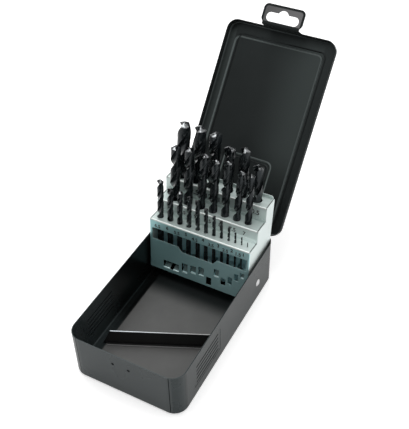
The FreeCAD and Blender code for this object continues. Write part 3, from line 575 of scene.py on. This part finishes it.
def twist_drill(name, diameter, length):
    """One bit, standing on the origin with its point up, as a plain mesh. All sizes are in mm."""
    flute_length, tip_turn = BITS[diameter]
    start = length - flute_length * FLUTE_COVER
    shoulder = length - diameter / 2 / math.tan(POINT)
    gap = max(LEAST_RING_GAP, diameter * RING_GAP)
    sizes = {
        "Diameter": diameter * MM,
        "Length": length * MM,
        "Flute Start": start * MM,
        "Tip Turn": math.radians(tip_turn),
        "Flute Rings": max(LEAST_FLUTE_RINGS, round((shoulder - start) / gap)),
    }
    blank = bpy.data.objects.new(name, bpy.data.meshes.new(name))
    bpy.context.collection.objects.link(blank)
    modifier = blank.modifiers.new("twist_drill", "NODES")
    modifier.node_group = shape.tree
    for socket, size in sizes.items():
        modifier[given[socket]] = size
    bpy.context.view_layer.update()
    data = bpy.data.meshes.new_from_object(blank.evaluated_get(bpy.context.evaluated_depsgraph_get()))
    blank.modifiers.remove(modifier)
    spare = blank.data
    blank.data = data
    bpy.data.meshes.remove(spare)
    data.name = name
    # the Cylinder node leaves an empty first slot
    data.materials.pop(index=0)
    data.set_sharp_from_angle(angle=SHARP_EDGE)
    return blank


for joint in frame["joints"]:
    if not joint["name"].startswith("lift_"):
        continue
    node = joint["child"]
    diameter = float(node.removeprefix("bit_").removesuffix("_mm").replace("_", "."))
    # the solid bit gives the place of the foot's middle, the lean and the length
    axis = Vector(joint["axis"]).normalized()
    corners = [vertex.co for vertex in frame["nodes"][node].data.vertices]
    heights = [corner.dot(axis) for corner in corners]
    low, high = min(heights), max(heights)
    lowest = [corner for corner, height in zip(corners, heights) if height < low + 0.05 * MM]
    foot = sum(lowest, Vector()) / len(lowest)
    foot += axis * (low - foot.dot(axis))
    drill = twist_drill("drill_" + node, diameter, (high - low) / MM)
    tilt = Vector((0, 0, 1)).rotation_difference(axis).to_matrix().to_4x4()
    drill.data.transform(Matrix.Translation(foot) @ tilt)
    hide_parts(node)
    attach(drill, node)

# The floor, the light and the camera
# A white table that runs on behind the case, in a white room that is darker where the camera stands.
# The camera stands where the photograph was taken from.

FLOOR_SIZE = 8.0
FLOOR_DROP = 0.2 * MM
FLOOR_GLOW = (0.45, 0.45, 0.45, 1.0)
NO_GLOW = (0.0, 0.0, 0.0, 1.0)
DARK_SIDE = 0.15
LAMP_PLACE = Vector((-0.35, 0.1, 1.4))
LAMP_TARGET = Vector((0, 0, 0.05))
LAMP_SIZE = 1.0
LAMP_WATTS = 9
# found from the case's straight edges: the camera's place, its three angles, and its focal length in pixels
CAMERA_PLACE = Vector((265.77, -498.13, 599.42)) * MM
CAMERA_TURN = math.radians(28.609)
CAMERA_DROP = math.radians(42.388)
CAMERA_ROLL = math.radians(-1.286)
FOCAL_PIXELS = 779.31
PHOTO_WIDTH = 409
SENSOR = 36.0

bpy.ops.mesh.primitive_plane_add(size=FLOOR_SIZE, location=(0, 0, -FLOOR_DROP))
floor = bpy.context.object
floor.name = "floor"
paper = Finish("floor_paper", roughness=0.9, base_color=(0.85, 0.85, 0.85, 1.0))
mirrored = paper.add("ShaderNodeLightPath", output="Is Glossy Ray")
seen = paper.add("ShaderNodeLightPath", output="Is Camera Ray") + mirrored * 0.3
paper.set(emission_color=paper.blend(seen, NO_GLOW, FLOOR_GLOW), emission_strength=1.0)
floor.data.materials.append(paper.material)

world = bpy.data.worlds.new("studio")
world.use_nodes = True
bpy.context.scene.world = world
sky = Nodes(world.node_tree)
to_right, to_back, to_top = sky.axes("Generated")
room = (to_back + to_top * 0.9 + to_right * 0.6).rise(-0.65, 0.6) * (1 - DARK_SIDE) + DARK_SIDE
background = sky.tree.nodes["Background"]
sky.feed(background.inputs["Strength"], room.most(sky.add("ShaderNodeLightPath", output="Is Camera Ray")))
sky.feed(background.inputs["Color"], (1.0, 1.0, 1.0, 1.0))

light = bpy.data.lights.new("overhead", "AREA")
light.shape = "SQUARE"
light.size = LAMP_SIZE
light.energy = LAMP_WATTS
lamp = bpy.data.objects.new("overhead", light)
bpy.context.collection.objects.link(lamp)
lamp.location = LAMP_PLACE
lamp.rotation_euler = (LAMP_TARGET - LAMP_PLACE).to_track_quat("-Z", "Y").to_euler()

level = Vector((math.cos(CAMERA_TURN), math.sin(CAMERA_TURN), 0))
ahead = Vector((-math.sin(CAMERA_TURN), math.cos(CAMERA_TURN), 0))
forward = ahead * math.cos(CAMERA_DROP) - Vector((0, 0, math.sin(CAMERA_DROP)))
upright = level.cross(forward)
camera_right = level * math.cos(CAMERA_ROLL) + upright * math.sin(CAMERA_ROLL)
camera_up = upright * math.cos(CAMERA_ROLL) - level * math.sin(CAMERA_ROLL)
lens = bpy.data.cameras.new("camera")
lens.sensor_fit = "HORIZONTAL"
lens.sensor_width = SENSOR
lens.lens = FOCAL_PIXELS * SENSOR / PHOTO_WIDTH
lens.clip_start = 0.01
camera = bpy.data.objects.new("camera", lens)
bpy.context.collection.objects.link(camera)
facing = Matrix((camera_right, camera_up, -forward)).transposed().to_4x4()
camera.matrix_world = Matrix.Translation(CAMERA_PLACE) @ facing
bpy.context.scene.camera = camera
bpy.context.scene.view_settings.view_transform = "Standard"
